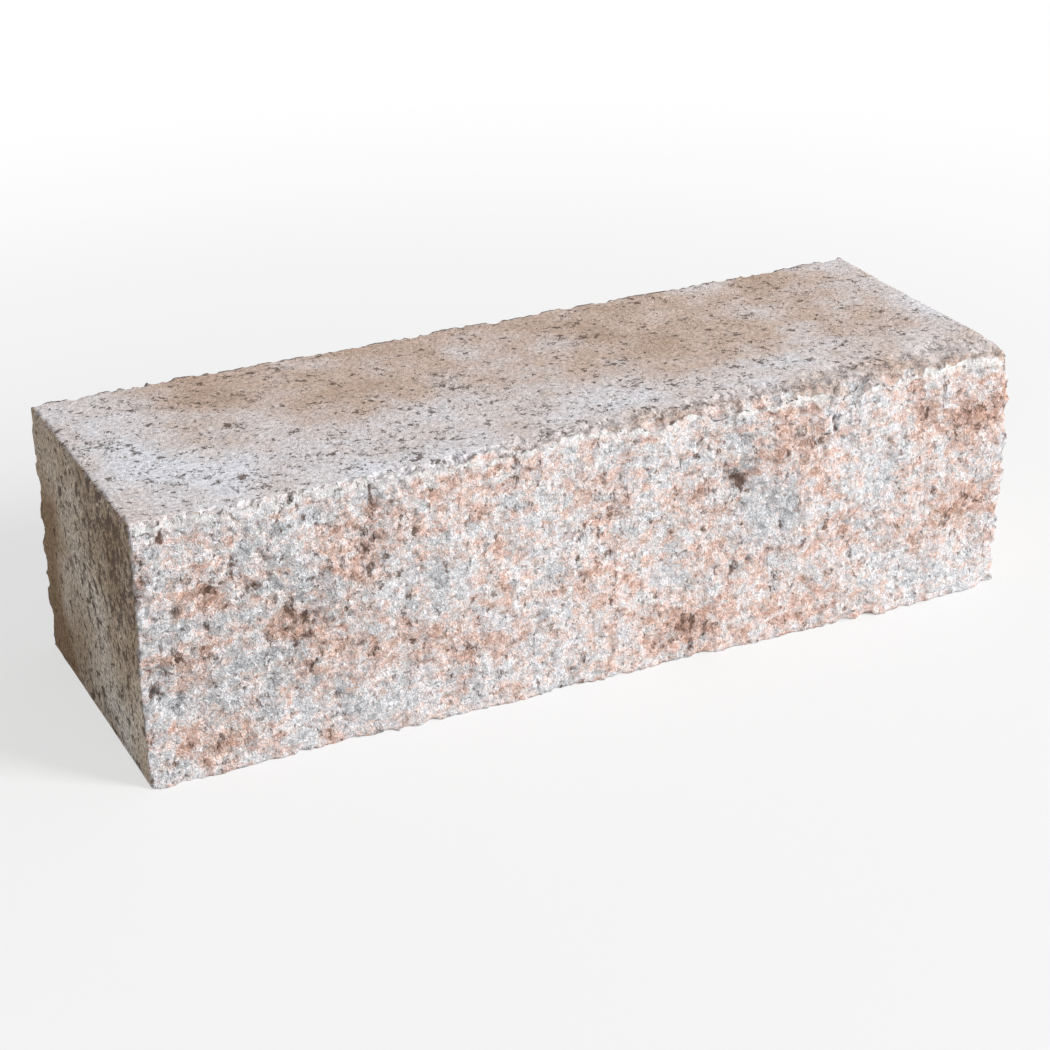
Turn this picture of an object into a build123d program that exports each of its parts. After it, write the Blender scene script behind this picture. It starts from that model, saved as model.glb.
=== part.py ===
from build123d import *
from math import ceil, cos, exp, pi, radians, sin
import os

# Split-face concrete wall block, one solid piece.
# Millimetres. +X runs along the block, -Y is the split front, +Z is up.
# The origin is in the middle of the bed face.

# Overall sizes, between the mean planes of opposite faces
block_length = 350.0
block_depth = 120.0
block_height = 100.0

# Arrises that the mould left round the two ends
end_arris_radius = 1.5

# Waves of the split front: height, wavelength, heading and phase in degrees
front_waves = [
    (0.90, 173.0, 14.0, 205.0),
    (0.70, 88.0, 71.0, 118.0),
    (0.60, 67.0, -38.0, 300.0),
    (0.45, 43.0, 24.0, 95.0),
    (0.42, 34.0, -63.0, 15.0),
    (0.32, 27.0, 47.0, 250.0),
    (0.32, 23.0, -16.0, 40.0),
]

# Waves of the split back, which is a little calmer
back_waves = [
    (0.80, 151.0, -9.0, 70.0),
    (0.60, 79.0, 62.0, 240.0),
    (0.50, 53.0, -29.0, 160.0),
    (0.40, 38.0, 18.0, 20.0),
    (0.32, 29.0, -72.0, 330.0),
]

# Single hollows and humps of the front: distance from the left end, height
# above the bed, half width, half height and rise, which is negative in a hollow
front_lumps = [
    (25.0, 69.0, 9.0, 7.0, -1.3),
    (13.0, 57.0, 12.0, 8.0, 1.0),
    (60.0, 50.0, 11.0, 8.0, -1.2),
    (82.0, 79.0, 8.0, 14.0, -1.8),
    (101.0, 76.0, 6.5, 9.0, -1.4),
    (112.0, 40.0, 20.0, 14.0, 1.0),
    (168.0, 62.0, 8.0, 10.0, -1.2),
    (205.0, 14.0, 14.0, 8.0, -1.1),
    (231.0, 70.0, 6.5, 5.5, -3.6),
    (241.0, 57.0, 9.0, 8.0, -1.8),
    (229.0, 33.0, 6.0, 9.0, -1.9),
    (263.0, 50.0, 14.0, 13.0, 1.5),
    (216.0, 50.0, 10.0, 12.0, 0.9),
    (296.0, 71.0, 17.0, 15.0, -2.0),
    (312.0, 83.0, 6.0, 7.0, -1.2),
    (349.0, 87.0, 12.0, 7.5, 2.6),
]

# Single hollows and humps of the back, measured in the same way
back_lumps = [
    (48.0, 62.0, 18.0, 14.0, -1.4),
    (118.0, 30.0, 20.0, 13.0, 1.1),
    (196.0, 71.0, 13.0, 11.0, -1.6),
    (275.0, 38.0, 19.0, 16.0, -1.3),
    (322.0, 74.0, 12.0, 10.0, 1.0),
]

# Crumbled brow behind the front top arris, from nothing at its start to its
# full width at the right end, and the chip off the corner there
brow_start = 128.0
brow_width = 11.5
brow_slope = 0.23
brow_waves = [
    (1.10, 47.0, 0.0, 130.0),
    (0.70, 23.0, 0.0, 20.0),
]
corner_chip_drop = 1.4
corner_chip_reach = 7.0

# Spacing of the points that a broken surface passes through, how far it runs
# past the block, and how thick the waste in front of it is taken
split_spacing = 5.5
brow_spacing = 4.0
surface_overrun = 8.0
waste_thickness = 30.0


def wave_height(waves, along, up):
    # Sum of straight sine waves, each running across the face on its heading
    total = 0.0
    for height, wavelength, heading, phase in waves:
        travel = along * cos(radians(heading)) + up * sin(radians(heading))
        total += height * sin(2 * pi * travel / wavelength + radians(phase))
    return total


def lump_height(lumps, along, up):
    # Sum of smooth bell-shaped hollows and humps
    total = 0.0
    for centre, level, half_width, half_height, rise in lumps:
        reach = ((along - centre) / half_width) ** 2 + ((up - level) / half_height) ** 2
        total += rise * exp(-reach)
    return total


def spread(start, end, spacing):
    # Evenly spaced values from start to end, no further apart than the spacing
    steps = ceil((end - start) / spacing)
    return [start + (end - start) * step / steps for step in range(steps + 1)]


def waste_section(broken_points, away):
    # Outline of the waste in one cross-section: a smooth broken line through
    # the points, closed by straight lines on the side that is thrown away
    steps = len(broken_points) - 1
    evenly = [step / steps for step in range(steps + 1)]
    broken_line = Edge.make_spline(broken_points, parameters=evenly)
    first = broken_points[0]
    last = broken_points[-1]
    far_first = first + away * waste_thickness
    far_last = far_first + (last - first) - away * (last - first).dot(away)
    corners = [first, far_first, far_last, last]
    straight_lines = [Edge.make_line(here, there) for here, there in zip(corners, corners[1:])]
    return Wire([broken_line] + straight_lines)


def split_waste(side, waves, lumps):
    # What the splitter took off one long side: side is -1 in front, +1 behind
    sections = []
    for along in spread(-surface_overrun, block_length + surface_overrun, split_spacing):
        broken_points = []
        for up in spread(-surface_overrun, block_height + surface_overrun, split_spacing):
            rise = wave_height(waves, along, up) + lump_height(lumps, along, up)
            broken_points.append(
                Vector(along - block_length / 2, side * (block_depth / 2 + rise), up)
            )
        sections.append(waste_section(broken_points, Vector(0, side, 0)))
    return Solid.make_loft(sections)


def brow_waste():
    # What crumbled off the front top arris: the broken surface falls forward
    # from a wavy line that draws back from the arris towards the right end
    sections = []
    for along in spread(-surface_overrun, block_length + surface_overrun, brow_spacing):
        band = brow_width * (along - brow_start) / (block_length - brow_start)
        band += wave_height(brow_waves, along, 0.0)
        broken_points = []
        for inward in spread(-surface_overrun, brow_width + surface_overrun, brow_spacing):
            chip = ((along - block_length) ** 2 + inward ** 2) / corner_chip_reach ** 2
            drop = brow_slope * (band - inward) + corner_chip_drop * exp(-chip)
            broken_points.append(
                Vector(along - block_length / 2, inward - block_depth / 2, block_height - drop)
            )
        sections.append(waste_section(broken_points, Vector(0, 0, 1)))
    return Solid.make_loft(sections)


def moulded_blank():
    # The block as it leaves the mould, longer from front to back than what is
    # kept, with its end arrises rounded
    blank_depth = block_depth + waste_thickness
    section = Plane.XZ * Pos(0, block_height / 2) * RectangleRounded(
        block_length, block_height, end_arris_radius
    )
    return extrude(section, amount=blank_depth / 2, both=True)


def wall_block():
    block = moulded_blank()
    block -= split_waste(-1, front_waves, front_lumps)
    block -= split_waste(1, back_waves, back_lumps)
    block -= brow_waste()
    return block


os.makedirs("parts", exist_ok=True)
export_step(wall_block(), "parts/wall_block.step")
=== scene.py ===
# Split-face concrete wall block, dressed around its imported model.
# Shapes are worked out in millimetres and put into the meshes in metres.
import math

import bpy
import numpy as np
from mathutils import Matrix, Vector


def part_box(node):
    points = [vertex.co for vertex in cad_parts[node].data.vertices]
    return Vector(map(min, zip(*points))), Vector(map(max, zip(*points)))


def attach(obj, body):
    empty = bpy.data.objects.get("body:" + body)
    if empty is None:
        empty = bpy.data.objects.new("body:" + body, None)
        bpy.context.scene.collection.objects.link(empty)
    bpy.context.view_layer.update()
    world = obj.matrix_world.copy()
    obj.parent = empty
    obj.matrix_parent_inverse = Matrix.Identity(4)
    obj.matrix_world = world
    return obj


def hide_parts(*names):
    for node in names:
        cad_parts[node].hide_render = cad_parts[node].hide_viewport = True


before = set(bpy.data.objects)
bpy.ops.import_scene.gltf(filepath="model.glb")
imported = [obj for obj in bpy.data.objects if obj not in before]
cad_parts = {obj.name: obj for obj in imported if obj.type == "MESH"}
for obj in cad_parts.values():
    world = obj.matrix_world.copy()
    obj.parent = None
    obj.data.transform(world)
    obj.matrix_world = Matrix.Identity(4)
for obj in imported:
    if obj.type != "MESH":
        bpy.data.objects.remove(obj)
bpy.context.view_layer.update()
print("frame loaded")

millimetre = 0.001
blockLow, blockHigh = [np.array(corner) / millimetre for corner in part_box("wall_block")]

# The block's own sizes and the form of its broken faces, as the solid has them
form = {
    "length": blockHigh[0] - blockLow[0],
    "height": blockHigh[2] - blockLow[2],
    "splitPlane": 60.0,        # from the middle to the mean plane of each split face
    "endArrisRadius": 1.5,
    # height, wavelength, heading and phase of each wave
    "frontWaves": [
        (0.90, 173.0, 14.0, 205.0),
        (0.70, 88.0, 71.0, 118.0),
        (0.60, 67.0, -38.0, 300.0),
        (0.45, 43.0, 24.0, 95.0),
        (0.42, 34.0, -63.0, 15.0),
        (0.32, 27.0, 47.0, 250.0),
        (0.32, 23.0, -16.0, 40.0),
    ],
    "backWaves": [
        (0.80, 151.0, -9.0, 70.0),
        (0.60, 79.0, 62.0, 240.0),
        (0.50, 53.0, -29.0, 160.0),
        (0.40, 38.0, 18.0, 20.0),
        (0.32, 29.0, -72.0, 330.0),
    ],
    # place along, place up, half width, half height and rise of each hump or hollow
    "frontLumps": [
        (25.0, 69.0, 9.0, 7.0, -1.3),
        (13.0, 57.0, 12.0, 8.0, 1.0),
        (60.0, 50.0, 11.0, 8.0, -1.2),
        (82.0, 79.0, 8.0, 14.0, -1.8),
        (101.0, 76.0, 6.5, 9.0, -1.4),
        (112.0, 40.0, 20.0, 14.0, 1.0),
        (168.0, 62.0, 8.0, 10.0, -1.2),
        (205.0, 14.0, 14.0, 8.0, -1.1),
        (231.0, 70.0, 6.5, 5.5, -3.6),
        (241.0, 57.0, 9.0, 8.0, -1.8),
        (229.0, 33.0, 6.0, 9.0, -1.9),
        (263.0, 50.0, 14.0, 13.0, 1.5),
        (216.0, 50.0, 10.0, 12.0, 0.9),
        (296.0, 71.0, 17.0, 15.0, -2.0),
        (312.0, 83.0, 6.0, 7.0, -1.2),
        (349.0, 87.0, 12.0, 7.5, 2.6),
    ],
    "backLumps": [
        (48.0, 62.0, 18.0, 14.0, -1.4),
        (118.0, 30.0, 20.0, 13.0, 1.1),
        (196.0, 71.0, 13.0, 11.0, -1.6),
        (275.0, 38.0, 19.0, 16.0, -1.3),
        (322.0, 74.0, 12.0, 10.0, 1.0),
    ],
    "browStart": 128.0,
    "browWidth": 11.5,
    "browSlope": 0.23,
    "browWaves": [(1.10, 47.0, 0.0, 130.0), (0.70, 23.0, 0.0, 20.0)],
    "cornerChipDrop": 1.4,
    "cornerChipReach": 7.0,
}

# The relief that the solid leaves out, in millimetres
relief = {
    "cellsAlong": 330,
    "cellsDeep": 44,
    "cellsUp": 94,
    "deepCrowding": 0.7,       # how much closer the rows lie at the two broken faces
    "facesApart": 37.0,        # of the two broken faces in the noise, so that they differ
    "bendSize": 5.0,           # bends in the pattern of a broken face, and their reach
    "bendReach": 1.6,
    "cragSize": 7.5,           # largest of the broken lumps
    "cragHeight": 0.36,
    "wideFacet": (6.5, 0.42, 0.11),     # size, step and tilt of the little broken planes
    "smallFacet": (3.4, 0.36, 0.13),
    "stoneSpacing": 5.0,       # stones that stand out or have dropped out
    "stoneRadius": 0.48,       # as a share of their spacing
    "stoneRise": 0.45,
    "stonePit": 1.1,
    "proudShare": 0.25,        # of all stones, those that stand out
    "droppedShare": 0.07,      # and those that have dropped out
    "meanDetail": 0.3,         # taken off again, so that the relief lies on the solid
    "ruggedGain": 0.6,         # share by which the most rugged places stand higher
    "fissureDepth": 0.9,
    "fissureBend": 4.0,        # size of the bends in a groove
    "deepDetail": (-0.8, -1.9),         # heights at which painted shade begins in the fine relief and the broad hollows, and at which it is darkest
    "deepLump": (-1.3, -2.8),           # hollows begin to look dark, and are darkest
    "skinHeight": 0.12,        # unevenness of the moulded faces
    "skinSize": 14.0,
    "crumbSize": 4.0,          # lumps and finer grains of the crumbled brow
    "crumbGrain": 1.7,
    "browUneven": 0.35,        # share by which its depth varies
    "browLip": 0.25,           # depth over which it begins softly
    "browMargin": 4.5,         # how far the crumbled look runs past the brow itself
    "browSplit": 0.28,         # share of broken concrete in its colour, the rest is skin
    "browRough": 0.75,         # and in its finest relief
    "grainReach": 8.0,         # how far below the top the grain of the brow fades out
    "frayWidth": 2.4,          # how far the front top arris has frayed, and how softly
    "frayEdge": 2.0,           # that ends
    "frayDrop": 0.7,
    "frayBend": 9.0,           # size of the bends in its edge
    "crushedBand": (4.2, 1.0),          # how far below the front top arris the crushed
                                        # white line begins, and is at its whitest
    "chippedDepth": (0.15, 0.6),        # of a chip that begins to show, and shows fully
    "plainTone": 0.10,         # grey, openness and share of the end colours, with their painted warm light, of the sides that nobody sees
    "plainOpenness": 0.0,
    "plainEndToneAndWarmLight": 0.2,
}

# Small chips along the arrises: the ends of each arris, as shares of the way from
# left to right, front to back and bed to top, then the number of chips, least and
# greatest radius and depth in millimetres, and the seed of their places
arrisChips = [
    ((0, 0, 1), (1, 0, 1), 80, (2.0, 7.0), (0.4, 1.6), 5),
    ((0, 1, 1), (1, 1, 1), 60, (2.0, 4.0), (0.3, 0.9), 6),
    ((0, 0, 0), (1, 0, 0), 30, (2.0, 5.0), (0.3, 0.9), 7),
    ((0, 1, 0), (1, 1, 0), 40, (2.5, 5.0), (0.4, 1.2), 8),
    ((0, 0, 0), (0, 0, 1), 20, (2.0, 4.5), (0.3, 1.1), 9),
    ((0, 1, 0), (0, 1, 1), 18, (2.5, 6.0), (0.4, 1.8), 11),
    ((0, 0, 1), (0, 1, 1), 14, (1.5, 3.0), (0.2, 0.7), 13),
    ((1, 0, 0), (1, 0, 1), 20, (2.0, 4.5), (0.3, 1.1), 10),
    ((1, 1, 0), (1, 1, 1), 18, (2.5, 6.0), (0.4, 1.8), 12),
    ((1, 0, 1), (1, 1, 1), 14, (1.5, 3.0), (0.2, 0.7), 14),
]

# Where the colours lie: place along, place up or inward, half width, half
# height and strength, which is salmon above nothing and pale grey below it
colourPatches = {
    "front": [
        (25.0, 69.0, 9.0, 5.0, 0.15),
        (56.0, 50.0, 8.0, 7.0, 0.18),
        (80.0, 66.0, 9.0, 9.0, 0.18),
        (80.0, 40.0, 16.0, 6.0, 0.09),
        (25.0, 12.0, 12.0, 7.0, 0.10),
        (20.0, 59.0, 16.0, 5.0, -0.12),
        (50.0, 39.0, 16.0, 4.0, -0.12),
        (15.0, 28.0, 18.0, 6.0, -0.12),
        (45.0, 88.0, 12.0, 8.0, -0.06),
        (115.0, 60.0, 12.0, 16.0, -0.05),
        (172.0, 58.0, 12.0, 14.0, 0.07),
        (122.0, 27.0, 16.0, 5.0, 0.07),
        (95.0, 12.0, 16.0, 8.0, -0.09),
        (212.0, 14.0, 13.0, 9.0, 0.17),
        (250.0, 12.0, 14.0, 6.0, 0.07),
        # the greyest patch, by the ridge, is partly painted shade
        (243.0, 54.0, 13.0, 10.0, -0.20),
        (200.0, 45.0, 14.0, 12.0, -0.04),
        (258.0, 86.0, 15.0, 10.0, 0.13),
        (292.0, 66.0, 15.0, 16.0, -0.16),
        (285.0, 92.0, 12.0, 6.0, -0.06),
        (335.0, 76.0, 16.0, 12.0, 0.20),
        (332.0, 40.0, 15.0, 9.0, 0.18),
        (270.0, 42.0, 14.0, 8.0, 0.05),
        (325.0, 15.0, 24.0, 12.0, -0.10),
        (342.0, 55.0, 8.0, 8.0, -0.08),
        (20.0, 50.0, 70.0, 90.0, -0.02),
        (270.0, 50.0, 130.0, 90.0, 0.02),
    ],
    # light grey above nothing and tan below it
    "top": [
        (22.0, 48.0, 15.0, 20.0, 0.26),
        (12.0, 92.0, 30.0, 44.0, 0.25),
        (70.0, 108.0, 34.0, 18.0, -0.16),
        (135.0, 88.0, 44.0, 28.0, -0.06),
        (262.0, 84.0, 64.0, 34.0, -0.08),
        (292.0, 58.0, 9.0, 4.0, 0.14),
        (346.0, 78.0, 15.0, 45.0, 0.26),
        (60.0, 26.0, 100.0, 34.0, 0.26),
        (225.0, 20.0, 90.0, 20.0, 0.18),
        (80.0, 4.0, 110.0, 12.0, 0.14),
        (250.0, 2.0, 100.0, 7.0, -0.08),
    ],
    # of the left end: place inward from the front, place up, and so on; pale
    # above nothing and darker and warmer below it, where the patches by the back edge and the back of the
    # bed are partly painted shade
    "left": [
        (30.0, 12.0, 36.0, 20.0, 0.20),
        (66.0, 56.0, 24.0, 20.0, 0.12),
        (114.0, 34.0, 13.0, 50.0, -0.36),
        (118.0, 4.0, 34.0, 16.0, -0.36),
        (20.0, 78.0, 36.0, 34.0, -0.16),
    ],
}

# Where the broken front is more rugged than elsewhere, measured like its colours
ruggedPatches = [
    (35.0, 55.0, 75.0, 60.0, 0.75),
    (232.0, 60.0, 20.0, 24.0, 0.40),
    (260.0, 86.0, 14.0, 10.0, 0.25),
    (212.0, 12.0, 16.0, 9.0, 0.35),
    (170.0, 60.0, 14.0, 12.0, 0.20),
]

# Short grooves in the broken front: place along, place up, half length, half
# width, and degrees that it leans up from the bed line
fissures = [
    (228.0, 30.0, 5.5, 0.9, 72.0),
    (232.5, 68.0, 3.6, 1.7, 117.0),
    (236.5, 63.5, 2.4, 0.9, 135.0),
    (249.0, 51.0, 3.5, 0.8, 95.0),
    (214.0, 82.5, 3.0, 0.7, 135.0),
    (169.0, 63.5, 2.6, 0.8, 80.0),
    (271.0, 87.5, 4.0, 0.7, 100.0),
    (310.0, 62.5, 4.0, 0.8, 60.0),
    (314.0, 82.0, 3.0, 0.8, 75.0),
    (86.0, 75.0, 6.0, 0.9, 85.0),
    (86.0, 93.0, 4.0, 0.8, 90.0),
    (85.0, 66.5, 2.6, 1.1, 60.0),
    (101.5, 76.0, 4.5, 0.8, 108.0),
    (96.0, 84.0, 2.5, 0.7, 60.0),
    (60.0, 53.0, 3.0, 1.2, 80.0),
    (62.0, 34.0, 3.0, 0.8, 50.0),
    (46.0, 41.0, 3.0, 0.6, 90.0),
    (46.0, 41.0, 2.6, 0.6, 25.0),
    (26.0, 12.5, 4.0, 0.8, 70.0),
    (25.0, 70.0, 2.6, 1.0, 45.0),
    (3.0, 84.0, 5.0, 1.0, 90.0),
    (4.0, 37.0, 4.0, 1.1, 85.0),
    (13.0, 49.0, 3.0, 0.8, 120.0),
    (10.0, 95.0, 3.5, 0.8, 80.0),
    (52.0, 94.0, 3.0, 0.8, 60.0),
    (142.0, 41.0, 3.0, 0.7, 90.0),
    (141.0, 86.0, 4.5, 0.6, 75.0),
    (212.0, 14.0, 3.0, 0.8, 90.0),
    (217.0, 9.0, 2.5, 0.8, 60.0),
    (178.0, 30.0, 2.6, 0.7, 80.0),
]

# Where the moulded skin is more open than elsewhere: place along or inward from
# the front, place inward or up, half width, half height and strength
openPatches = {
    "top": [
        (4.0, 68.0, 10.0, 18.0, 0.07),
        (64.0, 100.0, 24.0, 14.0, 0.05),
        (140.0, 66.0, 16.0, 10.0, 0.05),
        (85.0, 18.0, 60.0, 14.0, 0.04),
        (235.0, 32.0, 30.0, 10.0, 0.05),
        (255.0, 3.0, 110.0, 7.0, 0.10),
    ],
    "left": [
        (12.0, 70.0, 26.0, 36.0, 0.10),
        (42.0, 88.0, 44.0, 18.0, 0.08),
        (66.0, 54.0, 14.0, 12.0, 0.07),
        (45.0, 8.0, 26.0, 8.0, 0.06),
        (105.0, 50.0, 20.0, 60.0, -0.06),
    ],
}


def waveHeight(waves, along, up):
    # sum of straight sine waves, each running across the face on its heading
    total = np.zeros_like(along)
    for height, wavelength, heading, phase in waves:
        turn = math.radians(heading)
        travel = along * math.cos(turn) + up * math.sin(turn)
        total += height * np.sin(2 * math.pi * travel / wavelength + math.radians(phase))
    return total


def lumpHeight(lumps, along, up):
    # sum of bell-shaped humps and hollows, rise times e to minus the squared reach
    total = np.zeros_like(along)
    for centre, level, halfWidth, halfHeight, rise in lumps:
        total += rise * np.exp(-((along - centre) / halfWidth) ** 2 - ((up - level) / halfHeight) ** 2)
    return total


def fissureDepth(along, up):
    # 1 in the middle of a groove, falling as e to minus the squared distance
    # across it and minus the fourth power of the distance along it
    deepest = np.zeros_like(along)
    for centre, level, halfLength, halfWidth, lean in fissures:
        cos, sin = math.cos(math.radians(lean)), math.sin(math.radians(lean))
        lengthways = ((along - centre) * cos + (up - level) * sin) / halfLength
        across = ((up - level) * cos - (along - centre) * sin) / halfWidth
        deepest = np.maximum(deepest, np.exp(-lengthways ** 4 - across ** 2))
    return deepest


def smoothStep(low, high, value):
    # 0 below low, 1 above high, and the cubic 3t^2 - 2t^3 between them
    t = np.clip((value - low) / (high - low), 0.0, 1.0)
    return t * t * (3.0 - 2.0 * t)


def cornerValue(corner, seed):
    # repeatable number from 0 to 1 for each whole-number corner: its parts are
    # multiplied by large odd numbers, added, and their bits mixed
    mixed = corner[..., 0] * 73856093 + corner[..., 1] * 19349663 + corner[..., 2] * 83492791
    mixed = (mixed + seed * 265443576) & 0xFFFFFFFF
    for factor in (1274126177, 1103515245):
        mixed = ((mixed ^ (mixed >> 15)) * factor) & 0xFFFFFFFF
    return (mixed ^ (mixed >> 16)) / 4294967295.0


def softNoise(points, size, seed):
    # gradient noise, about -1 to 1: each corner of a lattice of this size has a
    # random slope, and the slopes blend over the cell by 6t^5 - 15t^4 + 10t^3
    scaled = points / size
    cell = np.floor(scaled).astype(np.int64)
    part = scaled - cell
    fade = part ** 3 * (part * (part * 6.0 - 15.0) + 10.0)
    total = np.zeros(len(points))
    for step in np.ndindex(2, 2, 2):
        step = np.array(step)
        slope = [cornerValue(cell + step, seed * 3 + axis) * 2.0 - 1.0 for axis in range(3)]
        slope = np.stack(slope, axis=1)
        weight = np.prod(np.where(step == 1, fade, 1.0 - fade), axis=1)
        total += weight * np.sum(slope * (part - step), axis=1)
    return total * 1.9


def fractalNoise(points, size, octaves, gain, seed):
    # soft noise added to itself at half the size and a share of the height
    total = np.zeros(len(points))
    height = 1.0
    for octave in range(octaves):
        total += height * softNoise(points, size * 0.5 ** octave, seed + octave * 7)
        height *= gain
    return total


def cellNoise(points, size, seed):
    # one point is scattered in each cell of a lattice: gives the distance to the
    # nearest, in cell sizes, a random number from 0 to 1 that belongs to it, the
    # way to it and the cell that it is in
    scaled = points / size
    cell = np.floor(scaled).astype(np.int64)
    nearest = np.full(len(points), 9.0)
    way = np.zeros_like(points)
    owner = np.zeros_like(cell)
    for step in np.ndindex(3, 3, 3):
        corner = cell + np.array(step) - 1
        place = np.stack([cornerValue(corner, seed * 5 + axis) for axis in range(3)], axis=1)
        offset = corner + place - scaled
        distance = np.linalg.norm(offset, axis=1)
        closer = distance < nearest
        nearest = np.where(closer, distance, nearest)
        way = np.where(closer[:, None], offset, way)
        owner = np.where(closer[:, None], corner, owner)
    return nearest, cornerValue(owner, seed * 5 + 3), way, owner


def facetNoise(points, facet, seed):
    # each cell is a small plane with its own height and its own slope
    size, step, tilt = facet
    which, way, owner = cellNoise(points, size, seed)[1:]
    slope = [cornerValue(owner, seed * 9 + axis) * 2.0 - 1.0 for axis in range(3)]
    slope = np.stack(slope, axis=1)
    return (which - 0.5) * step + np.sum(slope * way, axis=1) * size * tilt


def boxGrid(nx, ny, nz):
    # whole-number places (i, j, k) on the skin of a box of nx by ny by nz cells,
    # and its squares, wound so that they face outwards
    i, j, k = np.meshgrid(np.arange(nx + 1), np.arange(ny + 1), np.arange(nz + 1), indexing="ij")
    skin = (i == 0) | (i == nx) | (j == 0) | (j == ny) | (k == 0) | (k == nz)
    number = np.full(skin.shape, -1)
    number[skin] = np.arange(np.count_nonzero(skin))
    places = np.stack([i[skin], j[skin], k[skin]], axis=1)
    squares = []
    for axis in range(3):
        for end in (0, -1):
            side = np.take(number, end, axis=axis)
            square = np.stack([side[:-1, :-1], side[1:, :-1], side[1:, 1:], side[:-1, 1:]], axis=-1)
            outward = (end == -1) != (axis == 1)
            squares.append((square if outward else square[..., ::-1]).reshape(-1, 4))
    return places, np.concatenate(squares)


def splitDetail(along, up, side):
    # fine relief of the front, where side is -1, or the back, where it is 1: crags
    # of many sizes, little planes that each rise by their own step and slope, and
    # stones left proud or dropped out
    points = np.stack([along, np.full_like(along, side * relief["facesApart"]), up], axis=1)
    bend = np.stack([softNoise(points, relief["bendSize"], seed) for seed in (11, 12, 13)], axis=1)
    points = points + bend * relief["bendReach"]
    crag = fractalNoise(points, relief["cragSize"], octaves=3, gain=0.80, seed=21) * relief["cragHeight"]
    facet = facetNoise(points, relief["wideFacet"], 31) + facetNoise(points, relief["smallFacet"], 35)
    near, which = cellNoise(points, relief["stoneSpacing"], 41)[:2]
    dome = np.clip(1.0 - (near / relief["stoneRadius"]) ** 2, 0.0, 1.0)
    proud = dome * (which > 1.0 - relief["proudShare"]) * relief["stoneRise"]
    dropped = dome * (which < relief["droppedShare"]) * relief["stonePit"]
    return crag + facet + proud - dropped - relief["meanDetail"]


def browBand(along):
    # width of the crumbled brow: it grows evenly to the right end, and wavers
    band = form["browWidth"] * (along - form["browStart"]) / (form["length"] - form["browStart"])
    return band + waveHeight(form["browWaves"], along, np.zeros_like(along))


def browDrop(along, inward):
    # how far the crumbled brow lies below the top, from the falling broken
    # surface and the chip off the right corner
    reach = ((along - form["length"]) ** 2 + inward ** 2) / form["cornerChipReach"] ** 2
    drop = form["browSlope"] * (browBand(along) - inward) + form["cornerChipDrop"] * np.exp(-reach)
    return np.maximum(drop, 0.0)


def roundEndArrises(points):
    # beyond the centre of an arris, a point is pulled in to the arris radius
    radius = form["endArrisRadius"]
    centre = np.array([0.0, form["height"] / 2])
    half = np.array([form["length"] / 2, form["height"] / 2]) - radius
    offset = points[:, (0, 2)] - centre
    past = np.abs(offset) - half
    corner = (past[:, 0] > 0.0) & (past[:, 1] > 0.0)
    reach = np.linalg.norm(past, axis=1)
    pulled = half + past * (radius / np.where(corner, reach, 1.0))[:, None]
    moved = centre + np.sign(offset) * pulled
    points[:, 0] = np.where(corner, moved[:, 0], points[:, 0])
    points[:, 2] = np.where(corner, moved[:, 1], points[:, 2])


def chipArris(points, start, end, count, radii, depths, seed):
    # small chips along an edge: a ball stands just outside the edge, and points
    # inside it are pushed out to its surface, so that it leaves a shell-shaped
    # bite; gives how deep each point lay inside the balls
    random = np.random.default_rng(seed)
    edge = np.argmax(np.abs(end - start))
    outward = np.sign((start + end) / 2 - np.array([0.0, 0.0, form["height"] / 2]))
    chipped = np.zeros(len(points))
    for share in random.uniform(0.0, 1.0, count):
        place = start + (end - start) * share
        nearest = points[np.argmin(np.sum((points - place) ** 2, axis=1))]
        across = outward * random.uniform(0.5, 1.0, 3)
        across[edge] = random.normal(0.0, 0.25)
        across = across / np.linalg.norm(across)
        radius = random.uniform(*radii)
        centre = nearest + across * (radius - random.uniform(*depths))
        offset = points - centre
        distance = np.maximum(np.linalg.norm(offset, axis=1), 1e-6)
        inside = distance < radius
        chipped[inside] = np.maximum(chipped[inside], radius - distance[inside])
        points[inside] = centre + offset[inside] * (radius / distance[inside])[:, None]
    return chipped


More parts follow.
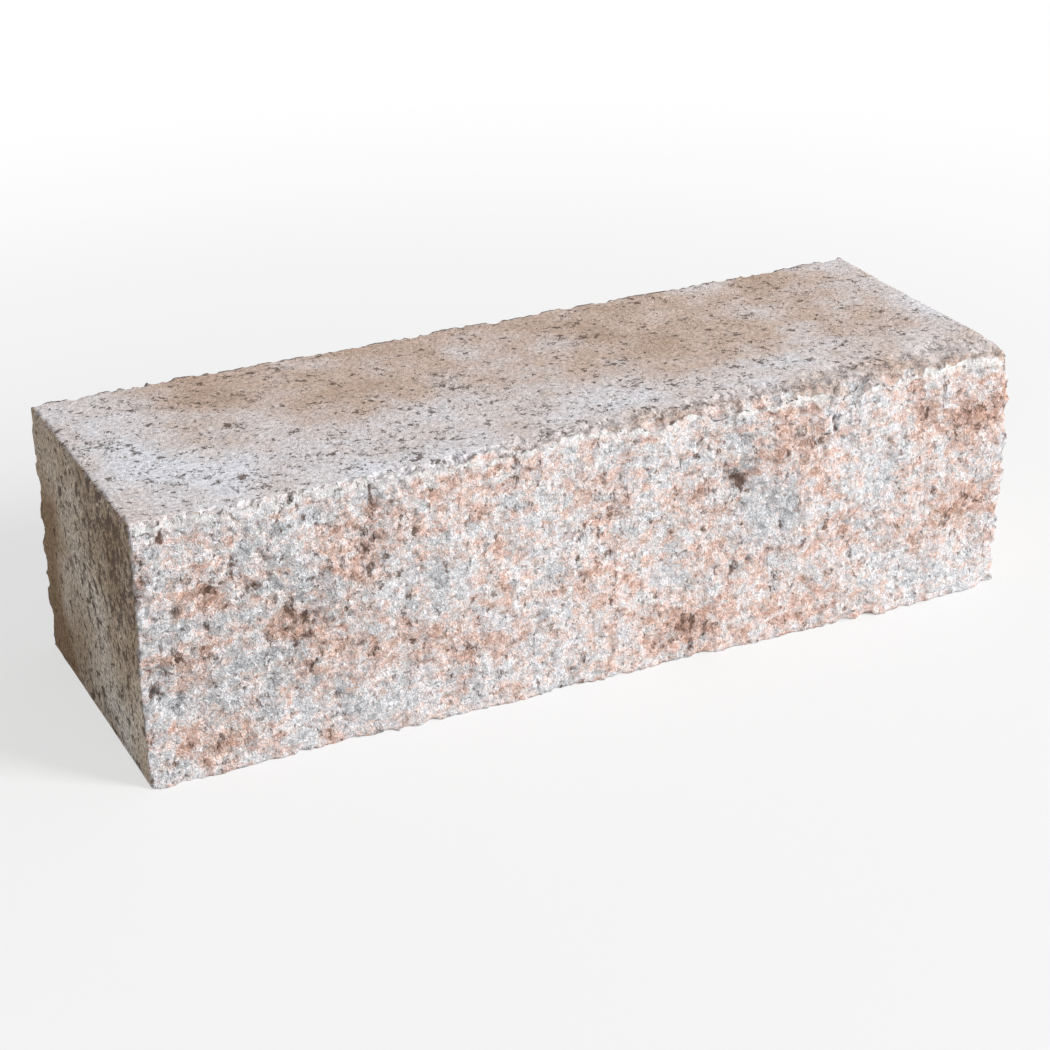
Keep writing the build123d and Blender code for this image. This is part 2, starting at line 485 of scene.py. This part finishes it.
def blockSurface():
    # the whole block as one closed surface: each point on the skin of a box is
    # carried to the block's own faces, and each face gets its relief; gives the
    # points, the squares and the attributes that the material reads
    nx, ny, nz = relief["cellsAlong"], relief["cellsDeep"], relief["cellsUp"]
    places, squares = boxGrid(nx, ny, nz)
    share = places / np.array([nx, ny, nz])
    along = share[:, 0] * form["length"]
    up = share[:, 2] * form["height"]
    # rows from front to back lie at t - c sin(2 pi t) / (2 pi), close at both ends
    deep = share[:, 1] - relief["deepCrowding"] * np.sin(2 * math.pi * share[:, 1]) / (2 * math.pi)

    # the front and the back lie at their broken surfaces, and every other point
    # stands at its share of the way between them
    rugged = lumpHeight(ruggedPatches, along, up)
    flat = np.stack([along, np.zeros_like(along), up], axis=1)
    bendAlong, bendUp = [softNoise(flat, relief["fissureBend"], seed) for seed in (61, 62)]
    fissure = fissureDepth(along + bendAlong, up + bendUp)
    frontDetail = splitDetail(along, up, -1) * (1.0 + relief["ruggedGain"] * rugged)
    frontDetail = frontDetail - relief["fissureDepth"] * fissure
    backDetail = splitDetail(along, up, 1)
    frontLump = lumpHeight(form["frontLumps"], along, up)
    front = waveHeight(form["frontWaves"], along, up) + frontLump + frontDetail
    back = waveHeight(form["backWaves"], along, up) + lumpHeight(form["backLumps"], along, up) + backDetail
    y = -form["splitPlane"] - front + (2 * form["splitPlane"] + front + back) * deep

    # the top falls to the crumbled brow and frays along its front arris, and what
    # is below it is drawn down in proportion, so that no square folds
    inward = y + form["splitPlane"]
    grainPoints = np.stack([along, y, up], axis=1)
    crumb = fractalNoise(grainPoints, relief["crumbSize"], octaves=2, gain=0.8, seed=51)
    drop = browDrop(along, inward)
    drop = drop * (1.0 + relief["browUneven"] * crumb) * smoothStep(0.0, relief["browLip"], drop)
    waver = softNoise(grainPoints * (1.0, 0.0, 0.0), relief["frayBend"], 55)
    fray = relief["frayWidth"] * (1.0 + 0.9 * waver + 0.5 * crumb)
    frayed = smoothStep(fray, fray - relief["frayEdge"], inward)
    drop = drop + relief["frayDrop"] * frayed * (1.0 + crumb)
    z = share[:, 2] * (form["height"] - drop)
    points = np.stack([along - form["length"] / 2, y, z], axis=1)
    roundEndArrises(points)

    onLeft, onRight = places[:, 0] == 0, places[:, 0] == nx
    onFront, onBack = places[:, 1] == 0, places[:, 1] == ny
    onBed, onTop = places[:, 2] == 0, places[:, 2] == nz
    pastBrow = browBand(along) + relief["browMargin"] * (1.0 + crumb) - inward
    crumbled = np.maximum(smoothStep(0.02, 0.35, drop), smoothStep(0.0, 1.0, pastBrow))

    # moulded faces are slightly uneven, and the crumbled brow is grainy, which
    # fades out down the faces below it, so that no square folds there
    into = np.stack([onLeft, 0 * onLeft, onBed], axis=1).astype(float)
    into -= np.stack([onRight, 0 * onRight, onTop], axis=1)
    into /= np.maximum(np.linalg.norm(into, axis=1), 1.0)[:, None]
    skin = fractalNoise(points, relief["skinSize"], octaves=3, gain=0.5, seed=91) + 1.0
    skin = relief["skinHeight"] * skin
    grain = crumbled * (0.5 + 0.4 * crumb + 0.45 * softNoise(grainPoints, relief["crumbGrain"], 57))
    points += into * (~(onFront | onBack) * skin)[:, None]
    points[:, 2] -= grain * smoothStep(form["height"] - relief["grainReach"], form["height"], up)

    half, plane = form["length"] / 2, form["splitPlane"]
    low, high = np.array([-half, -plane, 0.0]), np.array([half, plane, form["height"]])
    chipped = np.zeros(len(points))
    for start, end, count, radii, depths, seed in arrisChips:
        start, end = np.where(start, high, low), np.where(end, high, low)
        chipped += chipArris(points, start, end, count, radii, depths, seed)
    points = np.clip(points, blockLow, blockHigh)

    # colours: how salmon the broken concrete is, how grey and how open the moulded
    # skin is, how deep a point lies in a hollow, which sets its painted shade, and how
    # crushed the front brow is
    tone = np.where(onLeft, lumpHeight(colourPatches["left"], inward, up),
                    lumpHeight(colourPatches["top"], along, inward))
    openness = np.where(onLeft, lumpHeight(openPatches["left"], inward, up),
                        lumpHeight(openPatches["top"], along, inward))
    plain = onRight | onBed
    frontHollow, backHollow = [
        0.6 * smoothStep(*relief["deepDetail"], detail) for detail in (frontDetail, backDetail)
    ]
    frontHollow = frontHollow + smoothStep(*relief["deepLump"], frontLump)
    broken = np.maximum(onFront | onBack, smoothStep(*relief["chippedDepth"], chipped))
    return points, squares, {
        "split": np.maximum(broken, relief["browSplit"] * crumbled * onTop),
        "rough": np.maximum(broken, relief["browRough"] * crumbled * onTop),
        "tint": lumpHeight(colourPatches["front"], along, up) * onFront,
        "rugged": rugged * onFront,
        "fissure": fissure * onFront,
        "tone": np.where(plain, relief["plainTone"], tone),
        "openness": np.where(plain, relief["plainOpenness"], openness),
        # share of the end colours, with their painted warm light: all of it on the left end, some on the
        # right
        "endToneAndWarmLight": onLeft + relief["plainEndToneAndWarmLight"] * onRight,
        "hollow": onFront * frontHollow + onBack * backHollow,
        "crushed": onFront * smoothStep(*relief["crushedBand"], form["height"] - up),
    }


def meshFrom(name, points, squares):
    # a smooth mesh of points in millimetres and of squares
    mesh = bpy.data.meshes.new(name)
    mesh.vertices.add(len(points))
    mesh.vertices.foreach_set("co", (points * millimetre).astype(np.float32).ravel())
    mesh.loops.add(squares.size)
    mesh.loops.foreach_set("vertex_index", squares.astype(np.int32).ravel())
    mesh.polygons.add(len(squares))
    mesh.polygons.foreach_set("loop_start", np.arange(0, squares.size, 4, dtype=np.int32))
    mesh.update(calc_edges=True)
    mesh.validate()
    mesh.shade_smooth()
    return mesh


# Linear colours of the concrete, and the sizes of its patterns in millimetres
concrete = {
    "splitStops": [
        # the darkest grey, reached in the greyest patches such as the one by the ridge at 243 mm along, is
        # partly the grey of the concrete and partly painted shade
        (0.19, (0.48, 0.49, 0.50)),
        (0.35, (0.84, 0.845, 0.875)),
        (0.45, (0.87, 0.825, 0.825)),
        (0.52, (0.90, 0.78, 0.75)),
        (0.60, (0.88, 0.655, 0.58)),
        (0.74, (0.66, 0.415, 0.325)),
    ],
    "skinStops": [
        (0.28, (0.55, 0.395, 0.30)),
        (0.46, (0.67, 0.52, 0.44)),
        (0.66, (0.80, 0.725, 0.71)),
        (0.92, (0.87, 0.87, 0.92)),
    ],
    # colours of the ends, warmer and a little darker than the skin's: partly their own tone and partly the
    # painted warm light of the left end in shade
    "endStops": [
        (0.22, (0.38, 0.255, 0.155)),
        (0.45, (0.60, 0.475, 0.365)),
        (0.65, (0.78, 0.67, 0.56)),
        (0.85, (0.86, 0.81, 0.75)),
    ],
    "darkGrainColour": (0.36, 0.27, 0.23),
    # painted shade for crevices and hollows of the broken concrete, and for the cores of crevices
    "paintedCreviceShade": (0.24, 0.135, 0.095),
    "paintedCoreShade": (0.13, 0.075, 0.05),
    # painted shade for the pits and cracks of the moulded skin
    "paintedPitShade": (0.12, 0.08, 0.06),
    "crushedColour": (0.93, 0.91, 0.90),
    "bendSize": 1.6,           # bends in the patterns, and their reach
    "crumb": (2.3, 0.34, 0.62),         # size, step and tilt of the broken grains
    "grain": (1.1, 0.20, 0.75),
    "clump": (4.0, 0.70, 0.50),         # where the front is rugged
    "gritSize": 0.75,
    "creviceSize": 4.0,
    "creviceDepth": 1.1,
    "creviceLevels": (0.60, 0.68),      # of its noise, from the rim of a crevice inwards
    "coreLevels": (0.65, 0.71),
    "patchSize": 28.0,         # patches, flecks and speckles of the broken concrete
    "fleckSize": 5.0,
    "speckleSize": 0.6,
    "cloudSize": 30.0,         # clouds, mottling and open places of the moulded skin
    "mottlingSize": 1.7,
    "openSize": 16.0,
    "crackSize": 7.0,
    "crackSpacing": 5.0,
    "crackEdges": (0.024, 0.006),       # how far off its contour line, and how open the
    "crackOpenness": (1.08, 1.20),      # skin, where a crack begins and is full
    "pitSize": 2.4,
    "pitLevels": (0.665, 0.70),         # of its noise, from the rim of a pit inwards
    "widePitSize": 5.0,
    "widePitLevels": (0.67, 0.69),
    "pitDepth": 0.6,
}


def addNode(tree, kind, inputs=None, **settings):
    node = tree.nodes.new(kind)
    for name, value in settings.items():
        setattr(node, name, value)
    for name, value in (inputs or {}).items():
        if isinstance(value, bpy.types.NodeSocket):
            tree.links.new(value, node.inputs[name])
        else:
            node.inputs[name].default_value = value
    return node


def mathNode(tree, operation, first, second=0.0, third=0.0, clamp=False):
    inputs = {0: first, 1: second, 2: third}
    return addNode(tree, "ShaderNodeMath", inputs, operation=operation, use_clamp=clamp).outputs[0]


def mapNode(tree, value, low, high, newLow=0.0, newHigh=1.0, smooth=True):
    node = addNode(tree, "ShaderNodeMapRange",
                   {"Value": value, "From Min": low, "From Max": high, "To Min": newLow, "To Max": newHigh},
                   interpolation_type="SMOOTHSTEP" if smooth else "LINEAR")
    return node.outputs["Result"]


def stretchNode(tree, vector, scale):
    # a pattern on this vector is drawn out along an axis where the scale is small
    return addNode(tree, "ShaderNodeMapping", {"Vector": vector, "Scale": scale}).outputs["Vector"]


def rampNode(tree, value, stops):
    ramp = addNode(tree, "ShaderNodeValToRGB", {"Fac": value})
    elements = ramp.color_ramp.elements
    while len(elements) < len(stops):
        elements.new(0.5)
    for element, (place, colour) in zip(elements, stops):
        element.position = place
        element.color = (*colour, 1.0)
    return ramp.outputs["Color"]


def mixNode(tree, factor, first, second, blend="MIX"):
    # sockets 6 and 7 are the two colours, and output 2 is their mix
    node = addNode(tree, "ShaderNodeMix", data_type="RGBA", blend_type=blend)
    for index, value in ((0, factor), (6, first), (7, second)):
        if isinstance(value, bpy.types.NodeSocket):
            tree.links.new(value, node.inputs[index])
        else:
            node.inputs[index].default_value = value if index == 0 else (*value, 1.0)
    return node.outputs[2]


def noiseNode(tree, vector, size, detail, roughness):
    inputs = {"Vector": vector, "Scale": 1.0 / (size * millimetre), "Detail": detail, "Roughness": roughness}
    return addNode(tree, "ShaderNodeTexNoise", inputs).outputs["Fac"]


def vectorNode(tree, operation, first, second=(0.0, 0.0, 0.0), third=(0.0, 0.0, 0.0)):
    node = addNode(tree, "ShaderNodeVectorMath", {0: first, 1: second, 2: third}, operation=operation)
    return node.outputs["Value" if operation in ("DOT_PRODUCT", "LENGTH") else "Vector"]


def crumbNode(tree, vector, size, step, tilt):
    # broken grains: each cell is a small plane with its own height and slope;
    # gives that height in millimetres and three random numbers of the cell
    cells = addNode(tree, "ShaderNodeTexVoronoi",
                    {"Vector": vector, "Scale": 1.0 / (size * millimetre)}).outputs
    own = addNode(tree, "ShaderNodeSeparateColor", {"Color": cells["Color"]}).outputs
    slope = vectorNode(tree, "SUBTRACT", cells["Color"], (0.5, 0.5, 0.5))
    lean = vectorNode(tree, "DOT_PRODUCT", vectorNode(tree, "SUBTRACT", vector, cells["Position"]), slope)
    rise = mathNode(tree, "MULTIPLY_ADD", own["Red"], step, -0.5 * step)
    return mathNode(tree, "MULTIPLY_ADD", lean, tilt / millimetre, rise), own


def splitLook(tree, place, bent, value):
    # broken concrete: gives its colour, and its relief below the size of the mesh
    # in millimetres; value holds the attributes of the mesh
    rugged = value["rugged"]

    # relief of crumbs, grains and grit, with crevices here and there
    crumb, crumbOwn = crumbNode(tree, bent, *concrete["crumb"])
    grain, grainOwn = crumbNode(tree, bent, *concrete["grain"])
    grit = mathNode(tree, "SUBTRACT", noiseNode(tree, place, concrete["gritSize"], 3.0, 0.75), 0.5)
    upright = stretchNode(tree, bent, (1.25, 1.0, 0.8))
    crevice = noiseNode(tree, upright, concrete["creviceSize"], 4.0, 0.70)
    # the crevice mask makes both relief and painted shade; hollows, salmon patches, rugged places and
    # grooves get more of it
    for name, share in (("hollow", 0.09), ("tint", 0.35), ("rugged", 0.05), ("fissure", 0.16)):
        crevice = mathNode(tree, "MULTIPLY_ADD", value[name], share, crevice)
    core = mapNode(tree, crevice, *concrete["coreLevels"])
    crevice = mapNode(tree, crevice, *concrete["creviceLevels"])
    clump = crumbNode(tree, bent, *concrete["clump"])[0]
    loose = mathNode(tree, "MULTIPLY_ADD", clump, rugged, mathNode(tree, "ADD", crumb, grain))
    loose = mathNode(tree, "MULTIPLY_ADD", grit, mathNode(tree, "MULTIPLY_ADD", rugged, 0.4, 1.0), loose)
    height = mathNode(tree, "MULTIPLY", loose, mathNode(tree, "MULTIPLY_ADD", rugged, 0.5, 1.0))
    height = mathNode(tree, "MULTIPLY_ADD", crevice, -concrete["creviceDepth"], height)

    # pale grey and salmon flecks gathered into patches drawn out along the bed,
    # each grain with its own tone, and a few of the grains dark
    drawnOut = stretchNode(tree, bent, (0.8, 1.0, 1.15))
    patch = noiseNode(tree, drawnOut, concrete["patchSize"], 2.0, 0.5)
    fleck = noiseNode(tree, drawnOut, concrete["fleckSize"], 4.0, 0.62)
    mottle = mathNode(tree, "MULTIPLY_ADD", patch, 0.45, mathNode(tree, "MULTIPLY_ADD", fleck, 0.95, -0.20))
    for own, share in ((crumbOwn, 0.07), (grainOwn, 0.10)):
        mottle = mathNode(tree, "SUBTRACT", mottle, share / 2)
        mottle = mathNode(tree, "MULTIPLY_ADD", own["Green"], share, mottle)
    colour = rampNode(tree, mathNode(tree, "ADD", mottle, value["tint"]), concrete["splitStops"])
    darkGrain = mapNode(tree, grainOwn["Blue"], 0.95, 0.99, 0.0, 0.6)
    colour = mixNode(tree, darkGrain, colour, concrete["darkGrainColour"])

    # painted light and shade: proud grains are made lighter and sunk ones darker, more so where the front is
    # rugged
    proudPaintedLight = mathNode(tree, "MULTIPLY_ADD", rugged, 0.16, 1.10)
    shade = mapNode(tree, loose, -0.42, 0.30, 0.73, proudPaintedLight, smooth=False)
    colour = mixNode(tree, 1.0, colour, shade, "MULTIPLY")
    speckle = noiseNode(tree, place, concrete["speckleSize"], 1.0, 0.6)
    lightest = mathNode(tree, "MULTIPLY_ADD", rugged, 0.14, 1.10)
    colour = mixNode(tree, 1.0, colour, mapNode(tree, speckle, 0.38, 0.62, 0.84, lightest), "MULTIPLY")

    # the crushed white line, and painted shade in crevices, their cores and hollows
    crush = mapNode(tree, crumbOwn["Blue"], 0.1, 0.5, 0.35, 1.0)
    crush = mathNode(tree, "MULTIPLY", value["crushed"], crush)
    colour = mixNode(tree, crush, colour, concrete["crushedColour"])
    creviceShadeShare = mathNode(tree, "MULTIPLY", crevice, mapNode(tree, grit, -0.12, 0.10, 0.75, 0.25))
    colour = mixNode(tree, creviceShadeShare, colour, concrete["paintedCreviceShade"])
    colour = mixNode(tree, mathNode(tree, "MULTIPLY", core, 0.8), colour, concrete["paintedCoreShade"])
    shadow = mathNode(tree, "MULTIPLY", value["hollow"], 0.25, clamp=True)
    return mixNode(tree, shadow, colour, concrete["paintedCreviceShade"]), height


def skinLook(tree, place, bent, value):
    # moulded skin: gives its colour, and its finest relief in millimetres
    endToneAndWarmLight = value["endToneAndWarmLight"]

    # tan and light grey clouds with fine mottling, darker in the low places of the fine relief;
    # the ends take a warmer ramp, partly painted warm light, and stronger mottling, partly painted shade of
    # their relief
    cloud = mathNode(tree, "ADD", noiseNode(tree, place, concrete["cloudSize"], 6.0, 0.62), value["tone"])
    skinRamp, endRamp = [rampNode(tree, cloud, concrete[name]) for name in ("skinStops", "endStops")]
    colour = mixNode(tree, endToneAndWarmLight, skinRamp, endRamp)
    mottling = noiseNode(tree, bent, concrete["mottlingSize"], 4.0, 0.76)
    shade = mapNode(tree, mottling, 0.34, 0.66, 0.74, 1.20)
    shade = mathNode(tree, "POWER", shade, mathNode(tree, "ADD", endToneAndWarmLight, 1.0))
    colour = mixNode(tree, 1.0, colour, shade, "MULTIPLY")

    # cracks follow stretches of the contour lines of a noise
    openPlace = noiseNode(tree, place, concrete["openSize"], 3.0, 0.6)
    openPlace = mathNode(tree, "ADD", openPlace, mathNode(tree, "MULTIPLY", value["openness"], 3.0))
    contour = noiseNode(tree, bent, concrete["crackSize"], 3.0, 0.62)
    offLine = mathNode(tree, "ABSOLUTE", mathNode(tree, "SUBTRACT", contour, 0.5))
    here = mathNode(tree, "ADD", noiseNode(tree, place, concrete["crackSpacing"], 2.0, 0.5), openPlace)
    here = mapNode(tree, here, *concrete["crackOpenness"])
    crack = mathNode(tree, "MULTIPLY", mapNode(tree, offLine, *concrete["crackEdges"], 0.0, 0.7), here)

    # small and wide open pits, closer together in open places
    pitShare = mathNode(tree, "MULTIPLY_ADD", openPlace, 0.16, -0.045)
    pit = mathNode(tree, "ADD", noiseNode(tree, bent, concrete["pitSize"], 3.0, 0.6), pitShare)
    widePit = mathNode(tree, "ADD", noiseNode(tree, bent, concrete["widePitSize"], 4.0, 0.62), pitShare)
    widePit = mathNode(tree, "MULTIPLY_ADD", endToneAndWarmLight, 0.045, widePit)
    pit = mapNode(tree, pit, *concrete["pitLevels"])
    pit = mathNode(tree, "MAXIMUM", pit, mapNode(tree, widePit, *concrete["widePitLevels"]))
    hole = mathNode(tree, "MAXIMUM", pit, crack)
    height = mathNode(tree, "MULTIPLY", mottling, 0.8)
    height = mathNode(tree, "MULTIPLY_ADD", hole, -concrete["pitDepth"], height)
    # pits and cracks are coloured dark, as painted shade in them
    return mixNode(tree, mathNode(tree, "MULTIPLY", hole, 0.86), colour, concrete["paintedPitShade"]), height


def concreteMaterial(attributes):
    # broken concrete and moulded skin, mixed by the attributes of the mesh
    material = bpy.data.materials.new("pressedConcrete")
    material.use_nodes = True
    tree = material.node_tree
    tree.nodes.clear()
    place = addNode(tree, "ShaderNodeTexCoord").outputs["Object"]
    value = {}
    for name in attributes:
        value[name] = addNode(tree, "ShaderNodeAttribute", attribute_name=name).outputs["Fac"]

    # the patterns are bent a little, so that no cell of them looks straight
    bendSize = concrete["bendSize"] * millimetre
    bend = addNode(tree, "ShaderNodeTexNoise", {"Vector": place, "Scale": 1.0 / bendSize, "Detail": 3.0})
    bend = vectorNode(tree, "SUBTRACT", bend.outputs["Color"], (0.5, 0.5, 0.5))
    bent = vectorNode(tree, "MULTIPLY_ADD", bend, (bendSize, bendSize, bendSize), place)

    splitColour, splitHeight = splitLook(tree, place, bent, value)
    skinColour, skinHeight = skinLook(tree, place, bent, value)
    colour = mixNode(tree, value["split"], skinColour, splitColour)
    height = addNode(tree, "ShaderNodeMix", {0: value["rough"], 2: skinHeight, 3: splitHeight}).outputs[0]
    bump = addNode(tree, "ShaderNodeBump", {"Height": height, "Strength": 1.0, "Distance": millimetre})
    shader = addNode(tree, "ShaderNodeBsdfPrincipled",
                     {"Base Color": colour, "Roughness": 0.92, "Specular IOR Level": 0.25,
                      "Normal": bump.outputs["Normal"]})
    output = addNode(tree, "ShaderNodeOutputMaterial", {"Surface": shader.outputs["BSDF"]})
    output.is_active_output = True
    return material


def buildBlock():
    points, squares, attributes = blockSurface()
    mesh = meshFrom("wallBlock", points, squares)
    for name, value in attributes.items():
        attribute = mesh.attributes.new(name, "FLOAT", "POINT")
        attribute.data.foreach_set("value", value.astype(np.float32))
    block = bpy.data.objects.new("wallBlock", mesh)
    bpy.context.scene.collection.objects.link(block)
    mesh.materials.append(concreteMaterial(attributes))
    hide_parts("wall_block")
    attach(block, "root")
    print("block built:", len(points), "points,", len(squares), "squares")


# The studio: a pale floor, a large soft lamp in front on the right, and a white
# surround that lights the block only gently
studio = {
    "floorSize": 8.0,
    "floorColour": (0.82, 0.82, 0.82, 1.0),
    "shadowShare": 0.38,       # how much of the floor's own shading the camera sees
    "shadowFades": (0.25, 0.8),         # how far from the middle that fades to none
    "surroundStrength": 0.37,
    "lampTowards": (0.70, -0.70, 0.45),
    "lampDistance": 5.0,
    "lampSize": 1.6,
    "lampPower": 322.0,
}


def seenDirectly(tree):
    # 1 for the camera and for what gloss or glass shows
    rays = addNode(tree, "ShaderNodeLightPath").outputs
    glossy = mathNode(tree, "ADD", rays["Is Camera Ray"], rays["Is Glossy Ray"])
    return mathNode(tree, "ADD", glossy, rays["Is Transmission Ray"], clamp=True)


def buildFloor():
    half = studio["floorSize"] / 2
    mesh = bpy.data.meshes.new("floor")
    corners = [(-half, -half, 0), (half, -half, 0), (half, half, 0), (-half, half, 0)]
    mesh.from_pydata(corners, [], [(0, 1, 2, 3)])
    floor = bpy.data.objects.new("floor", mesh)
    bpy.context.scene.collection.objects.link(floor)
    material = bpy.data.materials.new("whiteFloor")
    material.use_nodes = True
    tree = material.node_tree
    tree.nodes.clear()
    plain = addNode(tree, "ShaderNodeBsdfDiffuse", {"Color": studio["floorColour"]}).outputs["BSDF"]
    glow = addNode(tree, "ShaderNodeEmission", {"Strength": 1.0}).outputs["Emission"]
    # the camera sees only a part of the floor's shading, and none of it far away
    place = addNode(tree, "ShaderNodeTexCoord").outputs["Object"]
    away = vectorNode(tree, "LENGTH", place)
    white = mapNode(tree, away, *studio["shadowFades"], 1.0 - studio["shadowShare"], 1.0)
    share = mathNode(tree, "MULTIPLY", seenDirectly(tree), white)
    mixed = addNode(tree, "ShaderNodeMixShader", {0: share, 1: plain, 2: glow})
    addNode(tree, "ShaderNodeOutputMaterial", {"Surface": mixed.outputs["Shader"]})
    mesh.materials.append(material)


def buildLights():
    world = bpy.data.worlds.new("paleSurround")
    bpy.context.scene.world = world
    world.use_nodes = True
    tree = world.node_tree
    tree.nodes.clear()
    strength = mapNode(tree, seenDirectly(tree), 0.0, 1.0, studio["surroundStrength"], 1.0, smooth=False)
    background = addNode(tree, "ShaderNodeBackground", {"Color": (1.0, 1.0, 1.0, 1.0), "Strength": strength})
    addNode(tree, "ShaderNodeOutputWorld", {"Surface": background.outputs["Background"]})

    towards = Vector(studio["lampTowards"]).normalized()
    lamp = bpy.data.lights.new("softLamp", "AREA")
    lamp.shape = "SQUARE"
    lamp.size = studio["lampSize"]
    lamp.energy = studio["lampPower"]
    lampObject = bpy.data.objects.new("softLamp", lamp)
    middle = Vector((0.0, 0.0, form["height"] * millimetre / 2))
    lampObject.location = middle + towards * studio["lampDistance"]
    lampObject.rotation_euler = towards.to_track_quat("Z", "Y").to_euler()
    bpy.context.scene.collection.objects.link(lampObject)


# Where the photograph was taken from, in metres and degrees, for a square frame
view = {
    "from": (-0.3754, -0.7931, 0.4485),
    "turn": -25.155,           # away from looking straight along +Y
    "down": 25.039,
    "roll": -1.012,
    "lens": 86.34,             # on a sensor 36 wide
}


def buildCamera():
    turn, down, roll = [math.radians(view[name]) for name in ("turn", "down", "roll")]
    back = Vector((math.sin(turn) * math.cos(down), -math.cos(turn) * math.cos(down), math.sin(down)))
    level = (-back).cross(Vector((0.0, 0.0, 1.0))).normalized()
    upright = level.cross(-back)
    right = level * math.cos(roll) + upright * math.sin(roll)
    up = upright * math.cos(roll) - level * math.sin(roll)
    camera = bpy.data.cameras.new("camera")
    camera.sensor_width = 36.0
    camera.lens = view["lens"]
    cameraObject = bpy.data.objects.new("camera", camera)
    turnMatrix = Matrix((right, up, back)).transposed().to_4x4()
    cameraObject.matrix_world = Matrix.Translation(view["from"]) @ turnMatrix
    bpy.context.scene.collection.objects.link(cameraObject)
    bpy.context.scene.camera = cameraObject


buildCamera()
print("camera placed")
buildBlock()
buildFloor()
buildLights()
bpy.context.scene.view_settings.view_transform = "Standard"
print("studio lit")
